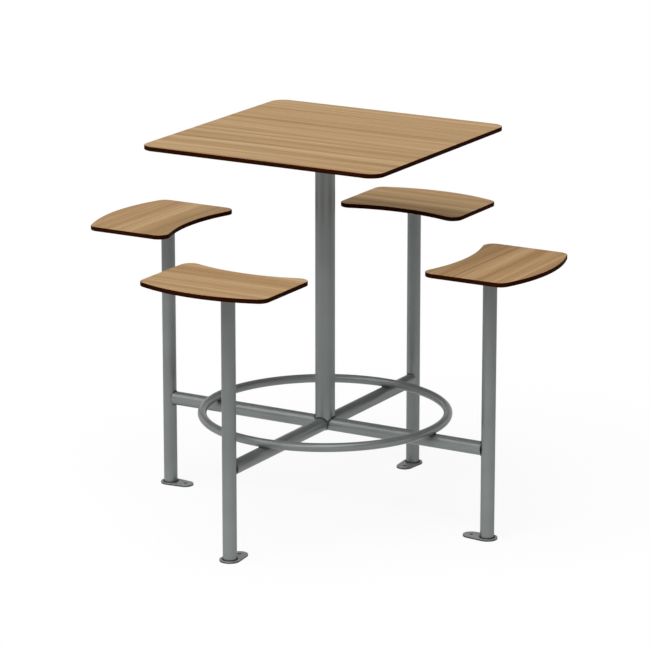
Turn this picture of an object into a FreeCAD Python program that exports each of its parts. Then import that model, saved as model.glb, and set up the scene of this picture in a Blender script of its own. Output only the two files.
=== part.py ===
import FreeCAD, Part

# A square bar-height table with four swivel seats on one welded frame.
#
# Lengths are in millimetres and +Z is up. The origin is on the floor, on the
# axis of the centre column. The arms run along X and Y, so the sides of the
# table top face the seats. The right post stands on +X, the back post on +Y,
# the left post on -X and the front post on -Y.
#
# Each seat hangs on a cartridge in its post: a bearing sleeve pressed into the
# post, two flanged bushes in the sleeve, and a spindle that turns in them.

import math
import os

os.makedirs("parts", exist_ok=True)

Vector = FreeCAD.Vector
up = Vector(0, 0, 1)
floor_point = Vector(0, 0, 0)

# ---- Driving dimensions ----

# Panels: compact laminate, for the table top and for the seats
panel_thickness = 12.0
panel_edge_round = 2.0

# Table top
table_height = 1051.5
table_side = 722.0
table_corner_radius = 40.0

# Centre column
column_diameter = 54.0
column_wall = 3.0
column_tip_height = 4.0

# Posts and arms, which are cut from the same tube
frame_tube_diameter = 38.0
frame_tube_wall = 3.0
post_circle_radius = 501.5
arm_axis_height = 250.0
arm_tip_trim = 16.0

# Footrest ring
ring_circle_radius = 335.5
ring_tube_diameter = 24.0
ring_tube_wall = 2.5
ring_saddle_depth = 0.3

# Foot plates
foot_plate_thickness = 5.0
foot_plate_edge_round = 0.8
foot_plate_outer_radius = 28.0
foot_plate_inner_radius = 23.0
anchor_distance = 48.0
anchor_hole_diameter = 11.0

# Seat panels. The two bowed edges share one bow.
seat_height = 764.5
seat_width = 382.0
seat_side_inward = 118.0
seat_side_outward = 132.0
seat_bow = 41.0
seat_corner_radius = 30.0

# Column top plate, under the table top
top_plate_side = 300.0
top_plate_corner_radius = 25.0
top_plate_screw_offset = 125.0

# Seat plates
seat_plate_length = 140.0
seat_plate_width = 200.0
seat_plate_corner_radius = 15.0
seat_plate_shift = 20.0
seat_screw_margin = 20.0

# Support plates of both kinds
support_plate_thickness = 5.0
support_plate_edge_round = 0.6

# Panel screws and the threaded inserts that they go into
screw_diameter = 6.0
screw_length = 10.0
screw_head_diameter = 10.5
screw_head_height = 3.3
screw_head_round = 0.8
screw_socket_across_flats = 4.0
screw_socket_depth = 2.0
screw_hole_clearance = 0.3
insert_diameter = 9.0
insert_length = 6.0
insert_hole_end_clearance = 0.5

# Swivel cartridge
spindle_diameter = 20.0
spindle_head_diameter = 34.0
spindle_head_height = 5.0
spindle_tip_length = 6.0
spindle_chamfer = 1.5
spindle_running_clearance = 0.05
thrust_washer_thickness = 1.0
thrust_washer_clearance = 0.1
bush_wall = 3.0
bush_length = 20.0
bush_flange_diameter = 30.0
bush_flange_thickness = 2.0
sleeve_flange_thickness = 3.0
sleeve_length = 90.0
retaining_ring_thickness = 1.2
retaining_ring_width = 2.8
retaining_ring_lug_radius = 2.2
retaining_ring_lug_hole_diameter = 1.6
retaining_ring_opening_degrees = 40.0
groove_depth = 0.5
groove_side_clearance = 0.1
spindle_end_float = 0.3

# ---- Derived values ----

column_radius = column_diameter / 2
frame_tube_radius = frame_tube_diameter / 2
frame_tube_bore_radius = frame_tube_radius - frame_tube_wall
ring_tube_radius = ring_tube_diameter / 2
ring_axis_height = (arm_axis_height + frame_tube_radius + ring_tube_radius
                    - ring_saddle_depth)

table_underside = table_height - panel_thickness
column_top = table_underside - support_plate_thickness
# The column's four tips end a little above the arms' axes
column_bottom = arm_axis_height + column_tip_height

seat_underside = seat_height - panel_thickness
seat_plate_underside = seat_underside - support_plate_thickness
spindle_head_underside = seat_plate_underside - spindle_head_height
upper_bush_top = spindle_head_underside - thrust_washer_thickness
sleeve_top = upper_bush_top - bush_flange_thickness
post_top = sleeve_top - sleeve_flange_thickness
sleeve_bottom = sleeve_top - sleeve_length
lower_bush_bottom = sleeve_bottom - bush_flange_thickness
retaining_ring_top = lower_bush_bottom - spindle_end_float
groove_bottom = retaining_ring_top - retaining_ring_thickness - groove_side_clearance

spindle_radius = spindle_diameter / 2
bush_bore_radius = spindle_radius + spindle_running_clearance
bush_radius = bush_bore_radius + bush_wall
screw_radius = screw_diameter / 2
screw_hole_radius = screw_radius + screw_hole_clearance
insert_radius = insert_diameter / 2

# Directions, as the angle from +X of each arm with its post and seat
sides = {"right": 0, "back": 90, "left": 180, "front": 270}

# How exactly an edge has to lie at a height, or upright, to be picked
flat_tolerance = 1e-4


# ---- Helpers ----

def save(shape, node):
    """Write one sub-part to its STEP file."""
    shape.exportStep("parts/" + node + ".step")


def cylinder(radius, bottom, top, x=0.0, y=0.0):
    """An upright solid cylinder between two heights."""
    return Part.makeCylinder(radius, top - bottom, Vector(x, y, bottom), up)


def tube(outer_radius, inner_radius, bottom, top):
    """An upright tube on the Z axis."""
    return cylinder(outer_radius, bottom, top).cut(cylinder(inner_radius, bottom, top))


def turned(shape, angle):
    """A copy turned about the column's axis."""
    copy = shape.copy()
    copy.rotate(floor_point, up, angle)
    return copy


def lifted(shape, height):
    """A copy moved up."""
    copy = shape.copy()
    copy.translate(Vector(0, 0, height))
    return copy


def at_post(shape):
    """A copy moved from the column's axis to the axis of the right post."""
    copy = shape.copy()
    copy.translate(Vector(post_circle_radius, 0, 0))
    return copy


def arm_outside(length):
    """The solid space of the right arm's tube, from the column's axis outward."""
    return Part.makeCylinder(frame_tube_radius, length, Vector(0, 0, arm_axis_height), Vector(1, 0, 0))


def edges_at(shape, height):
    """The edges of a shape that lie flat at one height."""
    return [edge for edge in shape.Edges
            if abs(edge.BoundBox.ZMin - height) < flat_tolerance
            and abs(edge.BoundBox.ZMax - height) < flat_tolerance]


def upright_edges(shape):
    """The edges of a shape that stand upright."""
    return [edge for edge in shape.Edges
            if edge.BoundBox.XLength < flat_tolerance and edge.BoundBox.YLength < flat_tolerance]


def rounded_slab(outline, corner_radius, thickness, edge_round):
    """A slab with its underside at height 0: corners rounded first, then both rims."""
    slab = Part.Face(outline).extrude(Vector(0, 0, thickness))
    slab = slab.makeFillet(corner_radius, upright_edges(slab))
    return slab.makeFillet(edge_round, edges_at(slab, 0.0) + edges_at(slab, thickness))


def rectangle(length, width, centre_x=0.0):
    """A closed rectangular wire, centred on the X axis."""
    low_x = centre_x - length / 2
    high_x = centre_x + length / 2
    corners = [Vector(low_x, -width / 2, 0), Vector(high_x, -width / 2, 0),
               Vector(high_x, width / 2, 0), Vector(low_x, width / 2, 0)]
    return Part.makePolygon(corners + corners[:1])


def group(solids):
    """Separate solids that share one node."""
    return Part.makeCompound(solids)


# ---- Screws and inserts ----

def panel_screw(plate_underside, x, y):
    """A button-head screw, put in from below, with a hexagon socket in its head."""
    head_bottom = plate_underside - screw_head_height
    shank = cylinder(screw_radius, plate_underside, plate_underside + screw_length)
    head = cylinder(screw_head_diameter / 2, head_bottom, plate_underside)
    head = head.makeFillet(screw_head_round, edges_at(head, head_bottom))
    corner_radius = screw_socket_across_flats / math.sqrt(3)
    corners = [Vector(corner_radius * math.cos(math.radians(turn)),
                      corner_radius * math.sin(math.radians(turn)), head_bottom)
               for turn in range(0, 361, 60)]
    socket = Part.Face(Part.makePolygon(corners)).extrude(Vector(0, 0, screw_socket_depth))
    screw = head.fuse(shank).removeSplitter().cut(socket)
    screw.translate(Vector(x, y, 0))
    return screw


def panel_insert(panel_underside, x, y):
    """A threaded insert, flush with the underside of its panel."""
    body = tube(insert_radius, screw_radius, panel_underside, panel_underside + insert_length)
    body.translate(Vector(x, y, 0))
    return body


def with_insert_holes(panel, panel_underside, points):
    """The panel with a blind hole at each point."""
    depth = insert_length + insert_hole_end_clearance
    for x, y in points:
        panel = panel.cut(cylinder(insert_radius, panel_underside, panel_underside + depth, x, y))
    return panel


def with_screw_holes(plate, bottom, points):
    """A support plate with a through hole at each point."""
    for x, y in points:
        plate = plate.cut(cylinder(screw_hole_radius, bottom, bottom + support_plate_thickness, x, y))
    return plate


# ---- Table top and column ----

def table_screw_points():
    """The corners and the middles of the sides of a square."""
    steps = (-top_plate_screw_offset, 0.0, top_plate_screw_offset)
    return [(x, y) for x in steps for y in steps if (x, y) != (0.0, 0.0)]


def table_top():
    slab = rounded_slab(rectangle(table_side, table_side), table_corner_radius,
                        panel_thickness, panel_edge_round)
    return with_insert_holes(lifted(slab, table_underside), table_underside, table_screw_points())


def column_top_plate():
    slab = rounded_slab(rectangle(top_plate_side, top_plate_side), top_plate_corner_radius,
                        support_plate_thickness, support_plate_edge_round)
    return with_screw_holes(lifted(slab, column_top), column_top, table_screw_points())


def centre_column():
    """A tube whose lower end is saddle-cut onto the crossing of the four arms."""
    column = tube(column_radius, column_radius - column_wall, column_bottom, column_top)
    for angle in sides.values():
        column = column.cut(turned(arm_outside(post_circle_radius), angle))
    return column


# ---- Arms, ring, posts and foot plates ----

def arm():
    """The right arm: mitred against its two neighbours, with a short saddle at its post."""
    length = post_circle_radius - arm_tip_trim
    bore = Part.makeCylinder(frame_tube_bore_radius, length, Vector(0, 0, arm_axis_height),
                             Vector(1, 0, 0))
    body = arm_outside(length).cut(bore)
    bottom = arm_axis_height - frame_tube_diameter
    top = arm_axis_height + frame_tube_diameter
    body = body.cut(cylinder(frame_tube_radius, bottom, top, post_circle_radius))
    quarter = [Vector(0, 0, bottom), Vector(length, -length, bottom),
               Vector(length, length, bottom), Vector(0, 0, bottom)]
    quarter_space = Part.Face(Part.makePolygon(quarter)).extrude(Vector(0, 0, top - bottom))
    return body.common(quarter_space)


def footrest_ring():
    """A tube bent to a full circle, with a shallow saddle where it lies on each arm."""
    centre = Vector(0, 0, ring_axis_height)
    outside = Part.makeTorus(ring_circle_radius, ring_tube_radius, centre, up)
    inside = Part.makeTorus(ring_circle_radius, ring_tube_radius - ring_tube_wall, centre, up)
    ring = outside.cut(inside)
    for angle in sides.values():
        ring = ring.cut(turned(arm_outside(post_circle_radius), angle))
    return ring


def foot_plate():
    """A plate whose two round ends are joined by straight tangent sides."""
    reach = anchor_distance
    lean = math.asin((foot_plate_outer_radius - foot_plate_inner_radius) / reach)

    def rim_point(centre_x, radius, angle):
        return Vector(centre_x + radius * math.cos(angle), radius * math.sin(angle), 0)

    tangent = math.pi / 2 + lean
    outer_upper = rim_point(0, foot_plate_outer_radius, tangent)
    outer_lower = rim_point(0, foot_plate_outer_radius, -tangent)
    outer_tip = rim_point(0, foot_plate_outer_radius, 0)
    inner_upper = rim_point(-reach, foot_plate_inner_radius, tangent)
    inner_lower = rim_point(-reach, foot_plate_inner_radius, -tangent)
    inner_tip = rim_point(-reach, foot_plate_inner_radius, math.pi)
    outline = Part.Wire([Part.Arc(outer_lower, outer_tip, outer_upper).toShape(),
                         Part.LineSegment(outer_upper, inner_upper).toShape(),
                         Part.Arc(inner_upper, inner_tip, inner_lower).toShape(),
                         Part.LineSegment(inner_lower, outer_lower).toShape()])
    plate = Part.Face(outline).extrude(Vector(0, 0, foot_plate_thickness))
    plate = plate.makeFillet(foot_plate_edge_round, edges_at(plate, foot_plate_thickness))
    hole = cylinder(anchor_hole_diameter / 2, 0.0, foot_plate_thickness, -reach)
    return at_post(plate.cut(hole))


def seat_post():
    return at_post(tube(frame_tube_radius, frame_tube_bore_radius, foot_plate_thickness, post_top))


# ---- Swivel cartridge, built on the column's axis ----

def bearing_sleeve():
    """A sleeve that fills the post's bore, with a flange that closes its end."""
    body = cylinder(frame_tube_bore_radius, sleeve_bottom, sleeve_top)
    flange = cylinder(frame_tube_radius, post_top, sleeve_top)
    return body.fuse(flange).removeSplitter().cut(cylinder(bush_radius, sleeve_bottom, sleeve_top))


def upper_bush():
    """A flanged bush, with its flange on top of the sleeve."""
    flange = cylinder(bush_flange_diameter / 2, sleeve_top, upper_bush_top)
    body = cylinder(bush_radius, sleeve_top - bush_length, sleeve_top)
    bore = cylinder(bush_bore_radius, sleeve_top - bush_length, upper_bush_top)
    return flange.fuse(body).removeSplitter().cut(bore)


def lower_bush():
    """The same bush turned over, with its flange under the sleeve."""
    flange = cylinder(bush_flange_diameter / 2, lower_bush_bottom, sleeve_bottom)
    body = cylinder(bush_radius, sleeve_bottom, sleeve_bottom + bush_length)
    bore = cylinder(bush_bore_radius, lower_bush_bottom, sleeve_bottom + bush_length)
    return flange.fuse(body).removeSplitter().cut(bore)


def spindle():
    """A shaft with a head for the seat plate and a groove for the retaining ring."""
    tip = groove_bottom - spindle_tip_length
    shaft = cylinder(spindle_radius, tip, spindle_head_underside)
    shaft = shaft.makeChamfer(spindle_chamfer, edges_at(shaft, tip))
    head = cylinder(spindle_head_diameter / 2, spindle_head_underside, seat_plate_underside)
    groove_top = retaining_ring_top + groove_side_clearance
    groove = tube(spindle_diameter, spindle_radius - groove_depth, groove_bottom, groove_top)
    return head.fuse(shaft).removeSplitter().cut(groove)


def thrust_washer():
    return tube(bush_flange_diameter / 2, spindle_radius + thrust_washer_clearance,
                upper_bush_top, spindle_head_underside)


def retaining_ring():
    """An open ring in the spindle's groove, with a drilled lug at each end."""
    bottom = retaining_ring_top - retaining_ring_thickness
    inner_radius = spindle_radius - groove_depth
    outer_radius = spindle_radius + retaining_ring_width
    lug_circle = outer_radius - retaining_ring_lug_radius / 2
    ring = cylinder(outer_radius, bottom, retaining_ring_top)
    half_opening = retaining_ring_opening_degrees / 2
    half_lug = math.degrees(retaining_ring_lug_radius / lug_circle)
    lugs = []
    for angle in (half_opening + half_lug, -half_opening - half_lug):
        x = lug_circle * math.cos(math.radians(angle))
        y = lug_circle * math.sin(math.radians(angle))
        lugs.append((x, y))
        ring = ring.fuse(cylinder(retaining_ring_lug_radius, bottom, retaining_ring_top, x, y))
    ring = ring.removeSplitter().cut(cylinder(inner_radius, bottom, retaining_ring_top))
    for x, y in lugs:
        ring = ring.cut(cylinder(retaining_ring_lug_hole_diameter / 2, bottom,
                                 retaining_ring_top, x, y))
    reach = outer_radius + retaining_ring_lug_radius
    spread = reach * math.tan(math.radians(half_opening))
    opening = [Vector(0, 0, bottom), Vector(reach, -spread, bottom),
               Vector(reach, spread, bottom), Vector(0, 0, bottom)]
    return ring.cut(Part.Face(Part.makePolygon(opening)).extrude(
        Vector(0, 0, retaining_ring_thickness)))


# ---- Seat ----

def seat_screw_points():
    """The four holes of the seat plate, from the post's axis."""
    half_length = seat_plate_length / 2 - seat_screw_margin
    half_width = seat_plate_width / 2 - seat_screw_margin
    return [(seat_plate_shift + x, y)
            for x in (-half_length, half_length) for y in (-half_width, half_width)]


def seat_outline():
    """Two straight sides, and an inner and an outer edge that both bow outward."""
    half_width = seat_width / 2

    def bowed_edge(x):
        return Part.Arc(Vector(x, -half_width, 0), Vector(x + seat_bow, 0, 0),
                        Vector(x, half_width, 0)).toShape()

    def side_edge(y):
        return Part.LineSegment(Vector(-seat_side_inward, y, 0),
                                Vector(seat_side_outward, y, 0)).toShape()

    edges = [bowed_edge(-seat_side_inward), side_edge(half_width),
             bowed_edge(seat_side_outward), side_edge(-half_width)]
    return Part.Wire(Part.__sortEdges__(edges))


def seat_panel():
    slab = rounded_slab(seat_outline(), seat_corner_radius, panel_thickness, panel_edge_round)
    return with_insert_holes(lifted(slab, seat_underside), seat_underside, seat_screw_points())


def seat_plate():
    outline = rectangle(seat_plate_length, seat_plate_width, seat_plate_shift)
    slab = rounded_slab(outline, seat_plate_corner_radius, support_plate_thickness,
                        support_plate_edge_round)
    return with_screw_holes(lifted(slab, seat_plate_underside), seat_plate_underside,
                            seat_screw_points())


def seat_screws():
    return group([panel_screw(seat_plate_underside, x, y) for x, y in seat_screw_points()])


def seat_inserts():
    return group([panel_insert(seat_underside, x, y) for x, y in seat_screw_points()])


# ---- Sub-parts ----

single_parts = {
    "table_top": table_top(),
    "column_top_plate": column_top_plate(),
    "table_screws": group([panel_screw(column_top, x, y) for x, y in table_screw_points()]),
    "table_inserts": group([panel_insert(table_underside, x, y) for x, y in table_screw_points()]),
    "centre_column": centre_column(),
    "footrest_ring": footrest_ring(),
}

# One of each per side, all built on the right and turned into place
parts_per_side = {
    "arm": arm(),
    "foot_plate": foot_plate(),
    "seat_post": seat_post(),
    "bearing_sleeve": at_post(bearing_sleeve()),
    "upper_bush": at_post(upper_bush()),
    "lower_bush": at_post(lower_bush()),
    "spindle": at_post(spindle()),
    "thrust_washer": at_post(thrust_washer()),
    "retaining_ring": at_post(retaining_ring()),
    "seat_plate": at_post(seat_plate()),
    "seat_panel": at_post(seat_panel()),
    "seat_screws": at_post(seat_screws()),
    "seat_inserts": at_post(seat_inserts()),
}

for node, shape in single_parts.items():
    save(shape, node)

for side, angle in sides.items():
    for piece, shape in parts_per_side.items():
        save(turned(shape, angle), side + "_" + piece)
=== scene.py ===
# %% [markdown]
# # A bar table with four swivel seats
#
# This lesson dresses a finished construction model in Blender. The model comes in as a fixed frame:
# its tubes, plates, bearings and screws have their real sizes and are never moved. The lesson adds
# what a construction model leaves out: the weld beads, the layers inside the laminate panels, and
# the finish of every surface.

# %% Load the construction model
import math

import bpy
from mathutils import Matrix, Vector


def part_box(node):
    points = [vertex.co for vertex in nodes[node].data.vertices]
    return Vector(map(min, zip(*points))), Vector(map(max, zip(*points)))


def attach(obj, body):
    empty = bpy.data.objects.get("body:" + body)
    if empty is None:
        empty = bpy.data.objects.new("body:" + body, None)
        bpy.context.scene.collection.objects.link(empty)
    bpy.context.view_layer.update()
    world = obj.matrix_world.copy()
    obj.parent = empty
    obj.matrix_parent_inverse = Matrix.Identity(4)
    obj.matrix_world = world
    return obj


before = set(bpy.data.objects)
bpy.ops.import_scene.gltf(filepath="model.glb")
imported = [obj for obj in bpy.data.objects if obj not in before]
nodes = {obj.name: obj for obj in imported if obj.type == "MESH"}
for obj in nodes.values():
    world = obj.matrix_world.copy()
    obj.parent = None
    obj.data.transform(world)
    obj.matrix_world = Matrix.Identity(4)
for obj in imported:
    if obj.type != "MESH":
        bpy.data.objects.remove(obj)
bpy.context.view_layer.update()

sides = {"right": 0, "back": 90, "left": 180, "front": 270}
mm = 0.001

# %% [markdown]
# ## The camera
#
# A long lens far away keeps the posts nearly parallel, as in a catalogue view. The camera stands 30
# degrees round from the front post and 15 degrees above the horizon. Only its direction, its
# distance and the point that it looks at are given, and `to_track_quat` turns them into a rotation,
# so nothing has to be aimed by hand.

# %% Place the camera
camera_azimuth = math.radians(30.0)
camera_elevation = math.radians(15.03)
camera_distance = 9.763
camera_target = Vector((0, 0, 0.526))
camera_lens, camera_sensor = 199.4, 36.0
camera_shift = (-0.0002, -0.00015)
view_limit = 200.0


def towards(azimuth, elevation):
    """The direction out to a place round the object, from the front and from the horizon."""
    return Vector((math.sin(azimuth) * math.cos(elevation), -math.cos(azimuth) * math.cos(elevation),
                   math.sin(elevation)))


towards_camera = towards(camera_azimuth, camera_elevation)
bpy.ops.object.camera_add(location=camera_target + towards_camera * camera_distance)
camera = bpy.context.object
camera.rotation_mode = "QUATERNION"
camera.rotation_quaternion = (-towards_camera).to_track_quat("-Z", "Y")
camera.data.lens, camera.data.sensor_width = camera_lens, camera_sensor
camera.data.shift_x, camera.data.shift_y = camera_shift
camera.data.clip_end = view_limit
bpy.context.scene.camera = camera
print(f"camera at {tuple(round(x, 2) for x in camera.location)}, {camera.data.lens:.1f} mm lens")

# %% [markdown]
# ## Helpers for shader nodes
#
# Every material here is made of nodes, and a few helpers keep that readable. `seen` takes a colour
# as it looks on a screen, from 0 to 255, and gives the linear values that the shader works with.
# `add` makes a node and fills its inputs, which may be plain values or the outputs of other nodes.

# %% Colours and nodes
def seen(red, green, blue):
    """A colour as it looks on a screen, as linear values with full alpha."""
    def linear(value):
        share = value / 255
        return share / 12.92 if share <= 0.04045 else ((share + 0.055) / 1.055) ** 2.4
    return (linear(red), linear(green), linear(blue), 1.0)


def fill(tree, socket, value):
    """Links an output to an input, or sets the input's plain value."""
    if isinstance(value, bpy.types.NodeSocket):
        tree.links.new(value, socket)
    else:
        socket.default_value = value


def add(tree, kind, inputs, **settings):
    """Adds a shader node, sets its options and fills its inputs, given by name or number."""
    made = tree.nodes.new("ShaderNode" + kind)
    for option, value in settings.items():
        setattr(made, option, value)
    for key, value in inputs.items():
        fill(tree, made.inputs[key], value)
    return made


def sum_of(tree, operation, first, second=0.0, third=0.0):
    """The result of one sum on values."""
    return add(tree, "Math", {0: first, 1: second, 2: third}, operation=operation).outputs[0]


def eased(tree, value, low, high, to_low=0.0, to_high=1.0):
    """A value brought softly from one range to another, and held at its ends."""
    ranges = {"Value": value, "From Min": low, "From Max": high, "To Min": to_low, "To Max": to_high}
    return add(tree, "MapRange", ranges, interpolation_type="SMOOTHSTEP").outputs["Result"]


def mixed(tree, share, first, second):
    """One colour laid over another by a share."""
    return add(tree, "Mix", {0: share, 6: first, 7: second}, data_type="RGBA").outputs[2]


print("mid grey on the screen is", round(seen(128, 128, 128)[0], 3), "in the shader")

# %% [markdown]
# ## Helpers for node groups
#
# An effect that several finishes share is a node group with named inputs and outputs. It is built
# once and then placed in each material with that material's own values. A group only works out
# patterns, and the shader itself stays in the material.

# %% Start and place node groups and materials
socket_kinds = {"value": "NodeSocketFloat", "vector": "NodeSocketVector"}


def start_group(name, inputs, outputs):
    """An empty group: its tree, what it is given, and the sockets for its results."""
    tree = bpy.data.node_groups.new(name, "ShaderNodeTree")
    for label, kind in inputs.items():
        tree.interface.new_socket(label, in_out="INPUT", socket_type=socket_kinds[kind])
    for label in outputs:
        tree.interface.new_socket(label, in_out="OUTPUT", socket_type="NodeSocketFloat")
    given = tree.nodes.new("NodeGroupInput").outputs
    results = tree.nodes.new("NodeGroupOutput").inputs
    return tree, given, results


def output_names(group):
    """What a group gives, by name."""
    return [socket.name for socket in group.interface.items_tree if socket.in_out == "OUTPUT"]


def place_group(tree, group, inputs):
    """A group placed in a tree with its inputs filled by name. Gives its outputs."""
    made = add(tree, "Group", {}, node_tree=group)
    for label, value in inputs.items():
        fill(tree, made.inputs[label], value)
    return made.outputs


def start_material(name):
    """A new node material: itself, its tree, its shader, and a point's place in metres."""
    material = bpy.data.materials.new(name)
    material.use_nodes = True
    tree = material.node_tree
    place = add(tree, "TexCoord", {}).outputs["Object"]
    return material, tree, tree.nodes["Principled BSDF"], place


print("an input of a group can be a", " or a ".join(socket_kinds))

# %% [markdown]
# ## The floor
#
# The floor is a plain pale plane. Seen by the camera or in a reflection it is mostly a white glow,
# with a share of real matt white that keeps a soft shadow of the object. For all other light it is
# a matt pool, nearly white under the object and dark further out. So the light that it throws up is
# strong at the feet and weak under the table top.

# %% Floor
floor_side = 120.0
floor_shadow_share = 0.1
pool_start, pool_end = 0.5, 1.7
pool_pale, pool_dark = 0.95, 0.15


def direct_looks(tree):
    """Is 1 for rays of the camera, of reflections and through glass, and 0 for all other light."""
    path = add(tree, "LightPath", {}).outputs
    seen_or_mirrored = sum_of(tree, "MAXIMUM", path["Is Camera Ray"], path["Is Glossy Ray"])
    return sum_of(tree, "MAXIMUM", seen_or_mirrored, path["Is Transmission Ray"])


bpy.ops.object.select_all(action="DESELECT")
bpy.ops.mesh.primitive_plane_add(size=floor_side, location=(0, 0, 0))
floor = bpy.context.object
floor.name = "studio_floor"
floor_material, tree, shader, place = start_material("studio_floor_white")
tree.nodes.remove(shader)
from_middle = add(tree, "VectorMath", {0: place}, operation="LENGTH").outputs["Value"]
pool = eased(tree, from_middle, pool_start, pool_end, pool_pale, pool_dark)
pool_colour = add(tree, "CombineColor", {0: pool, 1: pool, 2: pool}).outputs[0]
matt = add(tree, "BsdfDiffuse", {"Color": pool_colour})
matt_seen = add(tree, "BsdfDiffuse", {"Color": (1, 1, 1, 1)})
glow = add(tree, "Emission", {"Color": (1, 1, 1, 1), "Strength": 1.0})
clear = add(tree, "BsdfTransparent", {})
seen_floor = add(tree, "MixShader", {0: floor_shadow_share, 1: glow.outputs[0],
                                     2: matt_seen.outputs[0]})
upper_face = add(tree, "MixShader", {0: direct_looks(tree), 1: matt.outputs[0],
                                     2: seen_floor.outputs[0]})
below = add(tree, "NewGeometry", {}).outputs["Backfacing"]
both_faces = add(tree, "MixShader", {0: below, 1: upper_face.outputs[0], 2: clear.outputs[0]})
tree.links.new(both_faces.outputs[0], tree.nodes["Material Output"].inputs["Surface"])
floor.data.materials.append(floor_material)
print(f"floor of {floor_side:.0f} m, {floor_shadow_share:.0%} of it takes the shadow")

# %% [markdown]
# ## The light
#
# All lamps are soft rounds of light on the world, so no lamp object stands in the picture. A round's
# strength falls softly from its heart to its edge, and both are angles from its centre. The key is
# high in front, to the left of the camera. A weak and wide round behind lights the far side. The
# walls are nearly dark, and that gives satin steel tubes their drawing. Only the camera and
# reflections see a white strip above the horizon, where the floor ends.

# %% Room light
key_light, key_heart, key_edge = 3.32, 10, 49
key_centre = towards(math.radians(0), math.radians(61))
back_light, back_heart, back_edge = 0.15, 30, 80
back_centre = towards(math.radians(200), math.radians(25))
wall_light = 0.02
strip_light, strip_full, strip_gone = 1.0, 12, 22

world = bpy.data.worlds.new("studio_room")
bpy.context.scene.world = world
world.use_nodes = True
tree = world.node_tree
direction = add(tree, "TexCoord", {}).outputs["Generated"]


def glow_round(centre, heart, edge, strength):
    """Light round a direction that is full inside its heart and gone at its edge, in degrees."""
    closeness = add(tree, "VectorMath", {0: direction, 1: centre}, operation="DOT_PRODUCT")
    at_edge, at_heart = math.cos(math.radians(edge)), math.cos(math.radians(heart))
    return eased(tree, closeness.outputs["Value"], at_edge, at_heart, 0.0, strength)


height = add(tree, "SeparateXYZ", {0: direction}).outputs["Z"]
strip = eased(tree, height, math.sin(math.radians(strip_full)), math.sin(math.radians(strip_gone)),
              strip_light, 0.0)
room_light = sum_of(tree, "MULTIPLY_ADD", strip, direct_looks(tree), wall_light)
for glow_light in (glow_round(key_centre, key_heart, key_edge, key_light),
                   glow_round(back_centre, back_heart, back_edge, back_light)):
    room_light = sum_of(tree, "ADD", room_light, glow_light)
background = tree.nodes["Background"]
background.inputs["Color"].default_value = (1, 1, 1, 1)
fill(tree, background.inputs["Strength"], room_light)
bpy.context.scene.view_settings.view_transform = "Standard"
print(f"key {key_light}, back {back_light}, walls {wall_light}")

# %% [markdown]
# ## Powder-coated steel
#
# Powder is sprayed on dry and baked until it flows. It never flows quite flat: it keeps a low
# orange peel with waves of 2 to 3 mm, and metallic flakes give a fine speckle. Three noise textures
# of different scale make the peel, the speckle and slow clouds, and one node group holds them,
# because the tubes, the foot plates and the weld beads all need them.

# %% The powder group
speckles_per_metre = 2600.0
powder_clouds_per_metre = 9.0


def make_powder_group():
    """Orange peel, flake speckle and slow clouds of a baked powder coat."""
    tree, given, results = start_group("powder_coat_surface", {"Place": "vector", "Waves": "value"},
                                       ("Peel", "Speckle", "Clouds"))
    noise = {"Vector": given["Place"], "Detail": 1.0}
    peel = add(tree, "TexNoise", dict(noise, Scale=given["Waves"]))
    speckle = add(tree, "TexNoise", dict(noise, Scale=speckles_per_metre))
    clouds = add(tree, "TexNoise", dict(noise, Scale=powder_clouds_per_metre))
    for label, made in (("Peel", peel), ("Speckle", speckle), ("Clouds", clouds)):
        fill(tree, results[label], made.outputs[0])
    return tree


powder_group = make_powder_group()
print("powder group gives", output_names(powder_group))

# %% [markdown]
# Blender's noise seldom leaves the range from 0.25 to 0.75, so it is stretched before it mixes two
# tones or two roughnesses. A bump raises the surface for the light only, which is right for relief
# of a few hundredths of a millimetre. The construction pieces come with their slots for materials,
# and each finish is simply put into them.

# %% Helpers for finishes
noise_narrow, noise_wide = (0.35, 0.65), (0.3, 0.7)


def set_bump(tree, shader, height, depth):
    """Raises the surface by a height from 0 to 1, with its full depth in metres."""
    bump = add(tree, "Bump", {"Height": height, "Distance": depth, "Strength": 1.0})
    tree.links.new(bump.outputs[0], shader.inputs["Normal"])


def on_each_side(*pieces):
    """The names of some pieces on all four sides."""
    return [f"{side}_{piece}" for side in sides for piece in pieces]


def finish_nodes(names, material):
    """Gives construction pieces their finish."""
    for name in names:
        for slot in nodes[name].material_slots:
            slot.material = material
    print(f"{material.name}: {len(names)} pieces")


print("the arms are", on_each_side("arm"))

# %% [markdown]
# The coat is a satin grey with some flake in it, so it is partly metallic. It varies between two
# near tones and is a little glossier in some places than in others. The foot plates have a slightly
# paler copy of the same coat, as painted light: under this light the tubes' grey would leave them too
# dark.
# Below a height just under their upper face the coat turns dark: painted shade in their holes and
# on their side edges.

# %% The powder-coated finish
powder_dark, powder_pale = seen(128, 132, 131), seen(138, 143, 142)
# The plates' paler tones are painted light, for the light that their flat tops catch from above
lit_plate_dark, lit_plate_pale = seen(150, 154, 153), seen(160, 165, 164)
# Painted shade for the foot plates' holes and side edges
painted_shade_colour = seen(80, 83, 81)
shade_full, shade_gone = 1.2 * mm, 0.2 * mm
peel_waves_per_metre = 420.0
peel_depth = 0.02 * mm
powder_metal = 0.4
powder_specular, powder_tint = 0.35, (0.5, 0.5, 0.5, 1)
powder_smoothest, powder_roughest = 0.28, 0.32


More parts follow.
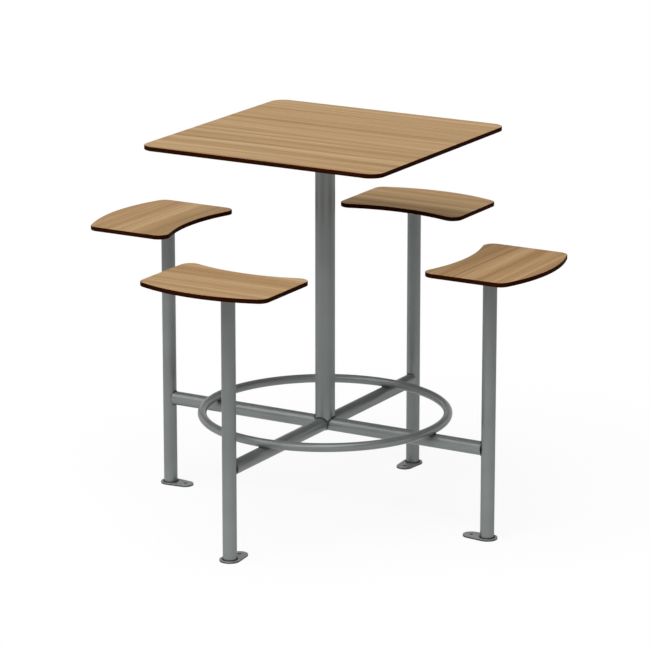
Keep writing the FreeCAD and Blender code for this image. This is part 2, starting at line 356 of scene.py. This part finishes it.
def make_powder_coat(name, dark, pale, depth, shaded_below=0.0):
    """Grey powder with a little metal flake in it, dark with painted shade just under a height."""
    material, tree, shader, place = start_material(name)
    pattern = place_group(tree, powder_group, {"Place": place, "Waves": peel_waves_per_metre})
    tone = sum_of(tree, "MULTIPLY", pattern["Clouds"], 0.5)
    tone = sum_of(tree, "MULTIPLY_ADD", pattern["Speckle"], 0.5, tone)
    powder = mixed(tree, eased(tree, tone, *noise_narrow), dark, pale)
    height = add(tree, "SeparateXYZ", {0: place}).outputs["Z"]
    # Below the given height the coat turns to painted shade
    unshaded = eased(tree, height, shaded_below - shade_full, shaded_below - shade_gone)
    fill(tree, shader.inputs["Base Color"], mixed(tree, unshaded, painted_shade_colour, powder))
    roughness = eased(tree, pattern["Clouds"], *noise_wide, powder_smoothest, powder_roughest)
    fill(tree, shader.inputs["Roughness"], roughness)
    shader.inputs["Metallic"].default_value = powder_metal
    shader.inputs["Specular IOR Level"].default_value = powder_specular
    shader.inputs["Specular Tint"].default_value = powder_tint
    set_bump(tree, shader, pattern["Peel"], depth)
    return material


powder_coat = make_powder_coat("powder_coated_steel_grey", powder_dark, powder_pale, peel_depth)
finish_nodes(["column_top_plate", "centre_column", "footrest_ring"], powder_coat)
finish_nodes(on_each_side("arm", "seat_post", "seat_plate"), powder_coat)
# The foot plates' coat is paler as painted light, and dark below its top face as painted shade
foot_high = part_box("right_foot_plate")[1]
foot_coat_painted_light = make_powder_coat("powder_coated_foot_plates_painted_light", lit_plate_dark, lit_plate_pale, peel_depth,
                             foot_high.z)
finish_nodes(on_each_side("foot_plate"), foot_coat_painted_light)

# %% [markdown]
# ## Compact laminate with an oak print
#
# The panels are pressed from sheets of brown kraft paper, with a printed oak decor on both faces.
# The print is straight-grained: slow bands, finer streaks, thin fibres and short dark pores, all
# long along the grain and narrow across it. One noise texture makes all four when it is stretched
# by different amounts. It doesn't change with height, so both faces of a panel show the same print.

# %% The grain group
# Waves per metre along the grain, across it and with height, and the noise's detail
drift_waves = ((1.6, 5.0, 0), 1.0)
band_waves = ((0.4, 26.0, 0), 2.0)
streak_waves = ((1.2, 150.0, 0), 2.0)
fibre_waves = ((8.0, 900.0, 0), 1.0)
pore_waves = ((55.0, 1400.0, 0), 0.0)
drift_reach = 0.03
pore_start, pore_full = 0.62, 0.74


def stretched_noise(tree, place, waves, detail):
    """Soft noise with its own number of waves per metre along each axis."""
    stretched = add(tree, "Mapping", {"Vector": place, "Scale": waves}).outputs[0]
    return add(tree, "TexNoise", {"Vector": stretched, "Scale": 1.0, "Detail": detail}).outputs[0]


def make_grain_group():
    """Straight oak grain along the place's X axis, which drifts a little sideways."""
    tree, given, results = start_group("straight_oak_grain", {"Place": "vector"},
                                       ("Bands", "Streaks", "Fibres", "Pores"))
    drift = stretched_noise(tree, given["Place"], *drift_waves)
    drift = sum_of(tree, "MULTIPLY_ADD", drift, drift_reach, -drift_reach / 2)
    moved = add(tree, "CombineXYZ", {"Y": drift}).outputs[0]
    place = add(tree, "VectorMath", {0: given["Place"], 1: moved}, operation="ADD").outputs[0]
    fill(tree, results["Bands"], stretched_noise(tree, place, *band_waves))
    fill(tree, results["Streaks"], stretched_noise(tree, place, *streak_waves))
    fill(tree, results["Fibres"], stretched_noise(tree, place, *fibre_waves))
    pores = stretched_noise(tree, place, *pore_waves)
    fill(tree, results["Pores"], eased(tree, pores, pore_start, pore_full))
    return tree


grain_group = make_grain_group()
print("grain group gives", output_names(grain_group))

# %% [markdown]
# The core shows only at the edges, between the two printed faces. A point's height says which it
# is: within the print's thickness of a face it is print, and anything deeper is core. The core's
# paper layers lie flat, so their noise changes fast with height and slowly along the edge.

# %% The layers group
print_blur = 0.05 * mm
layer_waves = ((7, 7, 3500), 1.0)


def make_layers_group():
    """Where the core shows on a flat panel's edge, and its paper layers."""
    tree, given, results = start_group(
        "panel_layers", {"Place": "vector", "Underside": "value", "Top": "value", "Print": "value"},
        ("Core", "Layers"))
    height = add(tree, "SeparateXYZ", {0: given["Place"]}).outputs["Z"]
    from_top = sum_of(tree, "SUBTRACT", given["Top"], height)
    from_below = sum_of(tree, "SUBTRACT", height, given["Underside"])
    depth = sum_of(tree, "MINIMUM", from_top, from_below)
    past_print = sum_of(tree, "SUBTRACT", depth, given["Print"])
    fill(tree, results["Core"], eased(tree, past_print, -print_blur, print_blur))
    fill(tree, results["Layers"], stretched_noise(tree, given["Place"], *layer_waves))
    return tree


layers_group = make_layers_group()
print("layers group gives", output_names(layers_group))

# %% [markdown]
# Each panel is cut from another part of the print and gets a material of its own. The grain runs
# along X on the table top, the back seat and the front seat, and is turned by 90 degrees on the
# other two, so that it lies across each sitter. A colour ramp turns the grain's tone into the three
# browns of the print. The panels are matt, and their mirror layer is set nearly to nothing, because
# it would grey the dark edges.

# %% The laminate finish, once per panel
print_dark, print_middle, print_pale = seen(148, 113, 74), seen(181, 148, 107), seen(208, 179, 137)
print_stops = (0.345, 0.5, 0.665)
print_pore, pore_share = seen(130, 98, 63), 0.35
core_dark, core_light = seen(33, 9, 3), seen(64, 27, 11)
grain_shares = {"Bands": 0.45, "Streaks": 0.35, "Fibres": 0.2}
print_thickness = 0.15 * mm
grain_depth = 0.03 * mm
panel_smoothest, panel_roughest, core_rougher = 0.42, 0.54, 0.1
panel_specular = 0.01


def make_laminate(name, panel, grain_turn, grain_shift, shade):
    """The finish of one panel, with its own turn and part of the print, and its shade, which is painted
    light and shade.
    """
    material, tree, shader, place = start_material(name)
    low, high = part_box(panel)
    grain_place = add(tree, "Mapping", {"Vector": place, "Location": (grain_shift, grain_shift, 0),
                                        "Rotation": (0, 0, math.radians(grain_turn))}).outputs[0]
    grain = place_group(tree, grain_group, {"Place": grain_place})
    # The shade shifts the print's tone: painted light and shade for how lit each panel is
    tone = shade
    for pattern, share in grain_shares.items():
        tone = sum_of(tree, "MULTIPLY_ADD", grain[pattern], share, tone)
    ramp = add(tree, "ValToRGB", {0: tone})
    stops = ramp.color_ramp.elements
    stops[0].position, stops[0].color = print_stops[0], print_dark
    stops[1].position, stops[1].color = print_stops[2], print_pale
    stops.new(print_stops[1]).color = print_middle
    pores = sum_of(tree, "MULTIPLY", grain["Pores"], pore_share)
    decor = mixed(tree, pores, ramp.outputs[0], print_pore)
    layers = place_group(tree, layers_group, {"Place": place, "Underside": low.z, "Top": high.z,
                                              "Print": print_thickness})
    core = mixed(tree, eased(tree, layers["Layers"], *noise_narrow), core_dark, core_light)
    fill(tree, shader.inputs["Base Color"], mixed(tree, layers["Core"], decor, core))
    roughness = eased(tree, grain["Fibres"], *noise_wide, panel_smoothest, panel_roughest)
    roughness = sum_of(tree, "MULTIPLY_ADD", layers["Core"], core_rougher, roughness)
    fill(tree, shader.inputs["Roughness"], roughness)
    shader.inputs["Specular IOR Level"].default_value = panel_specular
    relief = sum_of(tree, "SUBTRACT", grain["Fibres"], grain["Pores"])
    set_bump(tree, shader, relief, grain_depth)
    finish_nodes([panel], material)


# Each panel's turn of the grain in degrees, its place on the print in metres, and its shade, which is
# painted light and shade: a darker or paler print for how much light the seat gets
panel_prints = {
    "table_top": (0, 4.88, 0.0),
    "right_seat_panel": (90, 2.92, -0.075),
    "back_seat_panel": (0, 7.67, 0.01),
    "left_seat_panel": (90, 6.93, -0.02),
    "front_seat_panel": (0, 9.24, 0.0),
}
for panel, (grain_turn, grain_shift, shade) in panel_prints.items():
    make_laminate("oak_laminate_" + panel.removesuffix("_panel"), panel, grain_turn, grain_shift, shade)

# %% [markdown]
# ## Turned and plated fittings
#
# The spindles, sleeves, washers and screws are turned on a lathe, which leaves fine rings round their
# axis. Plating then adds faint clouds. The object is the same on its four sides, so one trick serves
# all posts: the larger of |x| and |y|, less the posts' distance, and the smaller of the two, give a
# point's place beside its own post. Its distance from the post's axis and its height then draw the
# rings.

# %% The turned metal group
post_low, post_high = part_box("right_seat_post")
post_axis = Vector(((post_low.x + post_high.x) / 2, 0, 0))
plating_clouds_per_metre = 90.0


def make_turned_group(axis_distance):
    """Fine lathe rings round the nearest post's axis, and the clouds of a plated surface."""
    tree, given, results = start_group("turned_metal_surface", {"Place": "vector", "Rings": "value"},
                                       ("Marks", "Clouds"))
    parts = add(tree, "SeparateXYZ", {0: given["Place"]}).outputs
    across, along = sum_of(tree, "ABSOLUTE", parts["X"]), sum_of(tree, "ABSOLUTE", parts["Y"])
    out = sum_of(tree, "SUBTRACT", sum_of(tree, "MAXIMUM", across, along), axis_distance)
    beside = sum_of(tree, "MINIMUM", across, along)
    flat = add(tree, "CombineXYZ", {"X": out, "Y": beside}).outputs[0]
    radius = add(tree, "VectorMath", {0: flat}, operation="LENGTH").outputs["Value"]
    rings = add(tree, "CombineXYZ", {"X": radius, "Y": parts["Z"]}).outputs[0]
    marks = add(tree, "TexNoise", {"Vector": rings, "Scale": given["Rings"], "Detail": 1.0})
    clouds = add(tree, "TexNoise", {"Vector": given["Place"], "Scale": plating_clouds_per_metre,
                                    "Detail": 2.0})
    fill(tree, results["Marks"], marks.outputs[0])
    fill(tree, results["Clouds"], clouds.outputs[0])
    return tree


turned_group = make_turned_group(post_axis.x)
print(f"posts stand {post_axis.x / mm:.1f} mm from the middle")

# %% [markdown]
# The four metals differ only in their colour and gloss: bluish zinc, plain stainless steel, dark
# oiled spring steel and yellow brass. So one function makes them all.

# %% The metal fittings
rings_per_metre = 1600.0
turning_depth = 0.01 * mm


def make_turned_metal(name, dark, pale, smoothest, roughest):
    """A turned metal that varies between two tones and two roughnesses."""
    material, tree, shader, place = start_material(name)
    pattern = place_group(tree, turned_group, {"Place": place, "Rings": rings_per_metre})
    plating = eased(tree, pattern["Clouds"], *noise_narrow)
    roughness = eased(tree, pattern["Marks"], *noise_wide, smoothest, roughest)
    fill(tree, shader.inputs["Base Color"], mixed(tree, plating, dark, pale))
    fill(tree, shader.inputs["Roughness"], roughness)
    shader.inputs["Metallic"].default_value = 1.0
    set_bump(tree, shader, pattern["Marks"], turning_depth)
    return material


zinc = make_turned_metal("zinc_plated_steel", seen(170, 176, 182), seen(202, 205, 204), 0.26, 0.38)
stainless = make_turned_metal("stainless_steel", seen(168, 168, 165), seen(190, 189, 186), 0.24, 0.36)
spring_steel = make_turned_metal("oiled_spring_steel", seen(52, 51, 52), seen(84, 82, 80), 0.3, 0.46)
brass = make_turned_metal("brass", seen(176, 140, 74), seen(206, 172, 104), 0.28, 0.42)
finish_nodes(on_each_side("bearing_sleeve", "spindle"), zinc)
finish_nodes(["table_screws"] + on_each_side("seat_screws", "thrust_washer"), stainless)
finish_nodes(on_each_side("retaining_ring"), spring_steel)
finish_nodes(["table_inserts"] + on_each_side("seat_inserts"), brass)

# %% [markdown]
# ## Moulded bushes
#
# The bushes are injection moulded in white acetal. The mould's eroded steel gives them a fine even
# grain, and the melt leaves faint flow clouds.

# %% The bushes' finish
grains_per_metre, grain_relief = 1800.0, 0.01 * mm
flow_clouds_per_metre = 60.0
melt_dark, melt_pale = seen(214, 211, 200), seen(232, 230, 222)
melt_smoothest, melt_roughest = 0.38, 0.55

acetal, tree, shader, place = start_material("white_acetal")
grain = add(tree, "TexNoise", {"Vector": place, "Scale": grains_per_metre, "Detail": 2.0})
clouds = add(tree, "TexNoise", {"Vector": place, "Scale": flow_clouds_per_metre, "Detail": 1.0})
melt = mixed(tree, eased(tree, clouds.outputs[0], *noise_wide), melt_dark, melt_pale)
roughness = eased(tree, grain.outputs[0], *noise_wide, melt_smoothest, melt_roughest)
fill(tree, shader.inputs["Base Color"], melt)
fill(tree, shader.inputs["Roughness"], roughness)
set_bump(tree, shader, grain.outputs[0], grain_relief)
finish_nodes(on_each_side("upper_bush", "lower_bush"), acetal)

# %% [markdown]
# ## Weld beads
#
# Each welded joint of the frame carries a narrow bead. A welder lays it down drop by drop, so it has
# ripples, and the powder coat covers it with the rest. The bead starts as a torus, and it gets narrow
# necks: three cross-sections make one ripple, and every third one is shrunk.

# %% Lay one bead
ripple_pitch = 1.7 * mm
ripple_depth = 0.3 * mm
bead_facets = 10
usual_bead_radius = 1.9 * mm


def lay_bead(name, round_radius, bead_radius=usual_bead_radius):
    """A closed rippled bead round the Z axis, at the origin."""
    ripples = round(2 * math.pi * round_radius / ripple_pitch)
    bpy.ops.object.select_all(action="DESELECT")
    bpy.ops.mesh.primitive_torus_add(major_radius=round_radius, minor_radius=bead_radius,
                                     major_segments=3 * ripples, minor_segments=bead_facets)
    bead = bpy.context.object
    bead.name = name
    bpy.ops.object.mode_set(mode="EDIT")
    bpy.ops.mesh.select_mode(type="VERT")
    bpy.ops.mesh.select_all(action="DESELECT")
    bpy.ops.object.mode_set(mode="OBJECT")
    for number, vertex in enumerate(bead.data.vertices):
        vertex.select = (number // bead_facets) % 3 == 0
    bpy.ops.object.mode_set(mode="EDIT")
    bpy.ops.transform.shrink_fatten(value=-ripple_depth)
    bpy.ops.object.mode_set(mode="OBJECT")
    bpy.ops.object.shade_smooth()
    print(f"{name}: {ripples} ripples")
    return bead


# %% [markdown]
# A seam is seldom a plain level ring, so a bead can be turned, cut by a plane and bent by a rule. All
# of this works on the mesh itself, and the object stays at the origin.

# %% Move, cut and bend a bead
def move_bead(bead, place, turn=0.0):
    """Turns a bead about Y and then moves it."""
    bead.data.transform(Matrix.Translation(place) @ Matrix.Rotation(turn, 4, "Y"))


def cut_bead(bead, place, away):
    """Cuts off what lies beyond a plane, on the side that it points to, and closes the ends."""
    bpy.ops.object.mode_set(mode="EDIT")
    bpy.ops.mesh.select_all(action="SELECT")
    bpy.ops.mesh.bisect(plane_co=place, plane_no=away, use_fill=True, clear_outer=True)
    bpy.ops.object.mode_set(mode="OBJECT")


def shape_bead(bead, rule):
    """Moves every point of a bead by a rule, for a seam that isn't flat."""
    for vertex in bead.data.vertices:
        vertex.co = rule(vertex.co)


# %% [markdown]
# The bead's coat is darker than the tubes': painted shade for the crease along each seam. One
# bead is modelled for each kind of joint, on the right side. Its copies on the other sides are turned
# about the column, each with a mesh of its own.

# %% Coat a bead and copy it to the four sides
# The weld's darker tones are painted shade for the crease where the parts meet
weld_shaded_dark, weld_shaded_pale = seen(46, 49, 48), seen(68, 72, 71)
weld_peel_depth = 0.03 * mm
weld_coat_painted_shade = make_powder_coat("powder_coated_weld_painted_shade", weld_shaded_dark, weld_shaded_pale, weld_peel_depth)


def finish_bead(bead, body):
    """Gives a bead its coat and its body."""
    bead.data.materials.append(weld_coat_painted_shade)
    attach(bead, body)


def copy_to_sides(bead, body="frame"):
    """Copies a bead from the right side to the others, each copy with its own mesh."""
    label = bead.name
    for side, turn in sides.items():
        copied = bead.copy()
        copied.data = bead.data.copy()
        copied.name = f"{side}_{label}"
        bpy.context.collection.objects.link(copied)
        copied.data.transform(Matrix.Rotation(math.radians(turn), 4, "Z"))
        finish_bead(copied, body.format(side=side))
    bpy.data.objects.remove(bead)
    print(f"{label}: {len(copied.data.polygons)} faces, on {len(sides)} sides")


# %% [markdown]
# Three kinds of joint are flat and round: each post on its foot plate, each spindle's head under its
# seat plate, and the column under its top plate. The beads' middles stand a little off the seam,
# out from the tube and off the plate.

# %% Flat beads
seam_offset = 0.3 * mm
foot_bead_radius = 2.6 * mm
column_low, column_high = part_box("centre_column")
spindle_low, spindle_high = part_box("right_spindle")
post_radius = (post_high.x - post_low.x) / 2
column_radius = (column_high.x - column_low.x) / 2
head_radius = (spindle_high.x - spindle_low.x) / 2

foot_weld = lay_bead("foot_weld", post_radius + seam_offset, foot_bead_radius)
move_bead(foot_weld, post_axis + Vector((0, 0, foot_high.z + seam_offset)))
copy_to_sides(foot_weld)

spindle_weld = lay_bead("spindle_weld", head_radius)
move_bead(spindle_weld, post_axis + Vector((0, 0, spindle_high.z - seam_offset)))
copy_to_sides(spindle_weld, "{side}_seat")

column_top_weld = lay_bead("column_top_weld", column_radius + seam_offset)
move_bead(column_top_weld, Vector((0, 0, column_high.z - seam_offset)))
finish_bead(column_top_weld, "frame")
print(f"column_top_weld: {len(column_top_weld.data.polygons)} faces")

# %% [markdown]
# The arms run to the middle of the hub, where each is mitred against its two neighbours, and the
# column's end is cut to saddles that sit on them. So two seams meet at each corner of the hub: above,
# an arc where the column sits on the arm, and below, a quarter of the mitre. Both start as the same
# ring round the arm, which is cut to the part that is needed and then bent onto its seam.

# %% Beads at the hub
saddle_bead_radius = 3.2 * mm
mitre_bead_radius = 1.5 * mm
arm_low, arm_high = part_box("right_arm")
arm_radius = (arm_high.y - arm_low.y) / 2
arm_height = (arm_high.z + arm_low.z) / 2
arm_middle = Vector((0, 0, arm_height))


def lay_arm_bead(name, bead_radius=usual_bead_radius):
    """A bead round the right arm, at the column's axis."""
    bead = lay_bead(name, arm_radius + seam_offset, bead_radius)
    move_bead(bead, arm_middle, math.radians(90))
    return bead


def onto_column(point):
    """Slides a point out along the arm until it lies on the column."""
    out = math.sqrt((column_radius + seam_offset) ** 2 - point.y ** 2)
    return point + Vector((out, 0, 0))


def onto_mitre(point):
    """Slides a point out along the arm until it lies on the mitre."""
    return point + Vector((point.y, 0, 0))


saddle_weld = lay_arm_bead("column_saddle_weld", saddle_bead_radius)
cut_bead(saddle_weld, arm_middle, (0, 0, -1))
shape_bead(saddle_weld, onto_column)
copy_to_sides(saddle_weld)

mitre_weld = lay_arm_bead("mitre_weld", mitre_bead_radius)
cut_bead(mitre_weld, arm_middle, (0, 0, 1))
cut_bead(mitre_weld, arm_middle, (0, -1, 0))
shape_bead(mitre_weld, onto_mitre)
copy_to_sides(mitre_weld)

# %% [markdown]
# An arm's outer end is cut nearly square, so it touches its post only along a narrow saddle at the
# middle. The welder closes the top and the bottom of the joint, where the gap is smallest. Those two
# short beads are one ring with its two sides cut away.

# %% Beads between the arms and the posts
arm_weld_half_width = 10 * mm


def onto_post(point):
    """Slides a point out along the arm until it lies on the post."""
    inward = math.sqrt((post_radius + seam_offset) ** 2 - point.y ** 2)
    return point + Vector((post_axis.x - inward, 0, 0))


arm_post_weld = lay_arm_bead("arm_post_weld")
for way in (1, -1):
    cut_bead(arm_post_weld, (0, way * arm_weld_half_width, 0), (0, way, 0))
shape_bead(arm_post_weld, onto_post)
copy_to_sides(arm_post_weld)

# %% [markdown]
# The footrest ring lies across each arm, and two round tubes touch only in a small patch. The bead
# goes round that patch. Away from its middle the arm's surface falls and the ring's rises, so the
# bead is pressed into an oval and then follows the middle between the two tubes.

# %% Beads between the footrest ring and the arms
ring_low, ring_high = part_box("footrest_ring")
ring_tube_radius = (ring_high.z - ring_low.z) / 2
ring_circle_radius = ring_high.x - ring_tube_radius
ring_weld_length = 7.5 * mm
ring_weld_width = 5.8 * mm


def between_tubes(point):
    """Presses a round bead into an oval and bends it to the middle between arm and ring."""
    along, across = point.x * ring_weld_width / ring_weld_length, point.y
    drop = across ** 2 / (2 * arm_radius)
    rise = along ** 2 / (2 * ring_tube_radius)
    return Vector((along, across, point.z + (rise - drop) / 2))


ring_weld = lay_bead("ring_weld", ring_weld_length)
shape_bead(ring_weld, between_tubes)
move_bead(ring_weld, Vector((ring_circle_radius, 0, (arm_high.z + ring_low.z) / 2)))
copy_to_sides(ring_weld)
